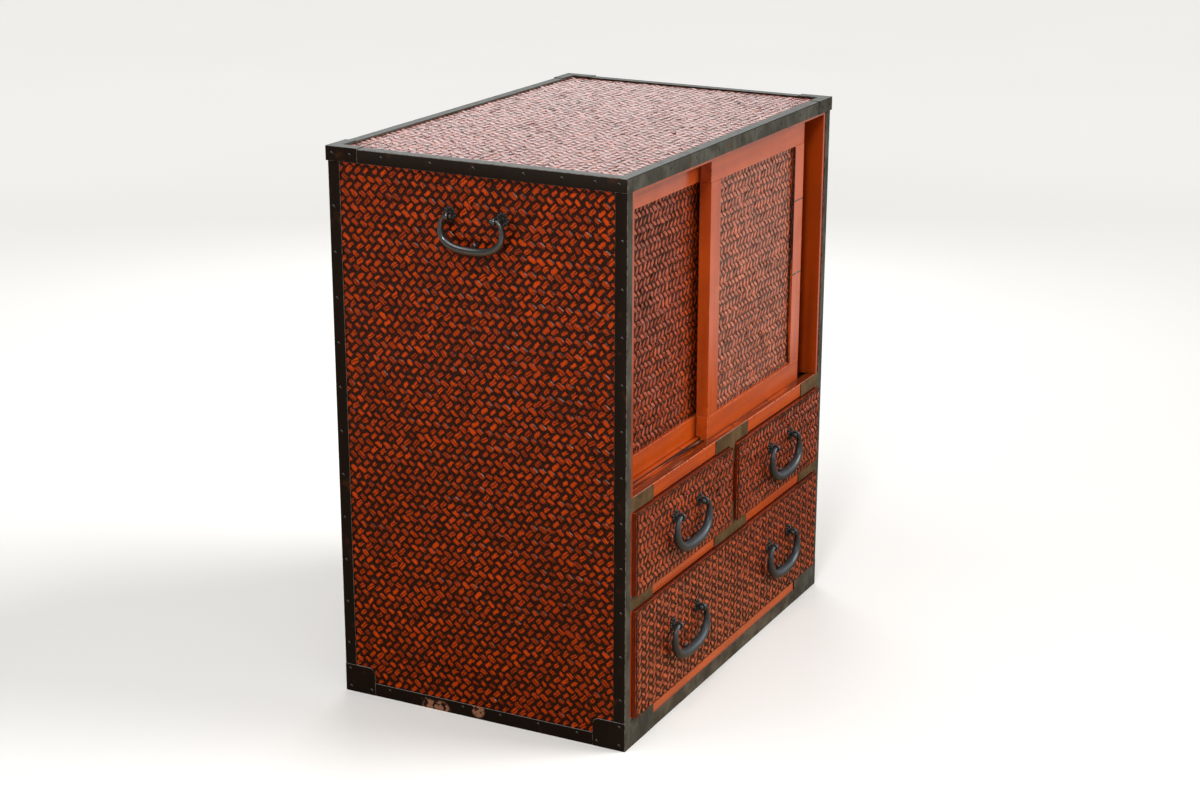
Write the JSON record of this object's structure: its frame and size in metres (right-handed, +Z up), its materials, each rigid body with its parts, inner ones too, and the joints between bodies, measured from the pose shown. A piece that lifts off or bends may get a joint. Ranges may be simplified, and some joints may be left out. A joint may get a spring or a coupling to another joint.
{
  "type": "clothing chest",
  "caption": "Low woven-skinned clothing chest with sliding panel doors above drawers, iron edge straps, and swinging bail handles on the drawers and sides.",
  "frame": {"origin": "on the floor under the middle of the whole chest, handles included", "axes": "+Z up, doors and drawers face -Y, +X to the right as seen from the front"},
  "size_m": [0.6836, 0.4493, 0.7508],
  "materials": {
    "lacquered_wood": "satin orange-red lacquer, worn at the edges",
    "plain_wood": "aged unlacquered softwood",
    "woven_bamboo": "twill-woven split bamboo under orange-red lacquer",
    "strap_iron": "blackened wrought iron, worn grey on the front",
    "handle_iron": "blackened wrought iron with a blue-grey bloom"
  },
  "bodies": {
    "case": {"side_board_left": "lacquered_wood", "side_board_right": "lacquered_wood", "top_board": "plain_wood", "bottom_board": "plain_wood", "back_board": "plain_wood", "sill_rail": "lacquered_wood", "compartment_floor": "plain_wood", "mid_rail": "lacquered_wood", "drawer_shelf": "plain_wood", "bottom_rail": "lacquered_wood", "drawer_partition": "lacquered_wood", "woven_skin_left": "woven_bamboo", "woven_skin_right": "woven_bamboo", "woven_skin_top": "woven_bamboo", "top_straps": "strap_iron", "top_corner_caps": "strap_iron", "upright_straps": "strap_iron", "bottom_straps": "strap_iron", "corner_shoes": "strap_iron", "rail_end_plates": "strap_iron", "rail_tee_plates": "strap_iron", "side_eye_posts": "handle_iron", "side_rosettes": "handle_iron", "side_rest_studs": "handle_iron"},
    "left_door": {"left_door_rails": "lacquered_wood", "left_door_stiles": "lacquered_wood", "left_door_board": "plain_wood", "left_door_weave": "woven_bamboo"},
    "right_door": {"right_door_rails": "lacquered_wood", "right_door_stiles": "lacquered_wood", "right_door_board": "plain_wood", "right_door_weave": "woven_bamboo"},
    "left_drawer": {"left_drawer_front": "lacquered_wood", "left_drawer_weave": "woven_bamboo", "left_drawer_walls": "plain_wood", "left_drawer_bottom": "plain_wood", "left_drawer_eye_posts": "handle_iron", "left_drawer_rosettes": "handle_iron", "left_drawer_rest_studs": "handle_iron"},
    "right_drawer": {"right_drawer_front": "lacquered_wood", "right_drawer_weave": "woven_bamboo", "right_drawer_walls": "plain_wood", "right_drawer_bottom": "plain_wood", "right_drawer_eye_posts": "handle_iron", "right_drawer_rosettes": "handle_iron", "right_drawer_rest_studs": "handle_iron"},
    "lower_drawer": {"lower_drawer_front": "lacquered_wood", "lower_drawer_weave": "woven_bamboo", "lower_drawer_walls": "plain_wood", "lower_drawer_bottom": "plain_wood", "lower_drawer_eye_posts": "handle_iron", "lower_drawer_rosettes": "handle_iron", "lower_drawer_rest_studs": "handle_iron"},
    "left_carrying_bail": {"left_carrying_bail": "handle_iron"},
    "right_carrying_bail": {"right_carrying_bail": "handle_iron"},
    "left_drawer_bail": {"left_drawer_bail": "handle_iron"},
    "right_drawer_bail": {"right_drawer_bail": "handle_iron"},
    "lower_drawer_left_bail": {"lower_drawer_left_bail": "handle_iron"},
    "lower_drawer_right_bail": {"lower_drawer_right_bail": "handle_iron"}
  },
  "joints": [
    {"name": "left_door_slide", "type": "slide", "parent": "case", "child": "left_door", "axis": [1, 0, 0], "range_m": [0, 0.2896]},
    {"name": "right_door_slide", "type": "slide", "parent": "case", "child": "right_door", "axis": [1, 0, 0], "range_m": [-0.254, 0.0356]},
    {"name": "left_drawer_slide", "type": "slide", "parent": "case", "child": "left_drawer", "axis": [0, -1, 0], "range_m": [0, 0.32]},
    {"name": "right_drawer_slide", "type": "slide", "parent": "case", "child": "right_drawer", "axis": [0, -1, 0], "range_m": [0, 0.32]},
    {"name": "lower_drawer_slide", "type": "slide", "parent": "case", "child": "lower_drawer", "axis": [0, -1, 0], "range_m": [0, 0.32]},
    {"name": "left_carrying_bail_swing", "type": "hinge", "parent": "case", "child": "left_carrying_bail", "pos_m": [-0.3366, 0.00822, 0.681], "axis": [0, 1, 0], "range_deg": [0, 170]},
    {"name": "right_carrying_bail_swing", "type": "hinge", "parent": "case", "child": "right_carrying_bail", "pos_m": [0.3366, 0.00822, 0.681], "axis": [0, -1, 0], "range_deg": [0, 170]},
    {"name": "left_drawer_bail_swing", "type": "hinge", "parent": "left_drawer", "child": "left_drawer_bail", "pos_m": [-0.15675, -0.21657, 0.28185], "axis": [-1, 0, 0], "range_deg": [0, 170]},
    {"name": "right_drawer_bail_swing", "type": "hinge", "parent": "right_drawer", "child": "right_drawer_bail", "pos_m": [0.15675, -0.21657, 0.28185], "axis": [-1, 0, 0], "range_deg": [0, 170]},
    {"name": "lower_drawer_left_bail_swing", "type": "hinge", "parent": "lower_drawer", "child": "lower_drawer_left_bail", "pos_m": [-0.1595, -0.21657, 0.13085], "axis": [-1, 0, 0], "range_deg": [0, 170]},
    {"name": "lower_drawer_right_bail_swing", "type": "hinge", "parent": "lower_drawer", "child": "lower_drawer_right_bail", "pos_m": [0.1595, -0.21657, 0.13085], "axis": [-1, 0, 0], "range_deg": [0, 170]}
  ]
}
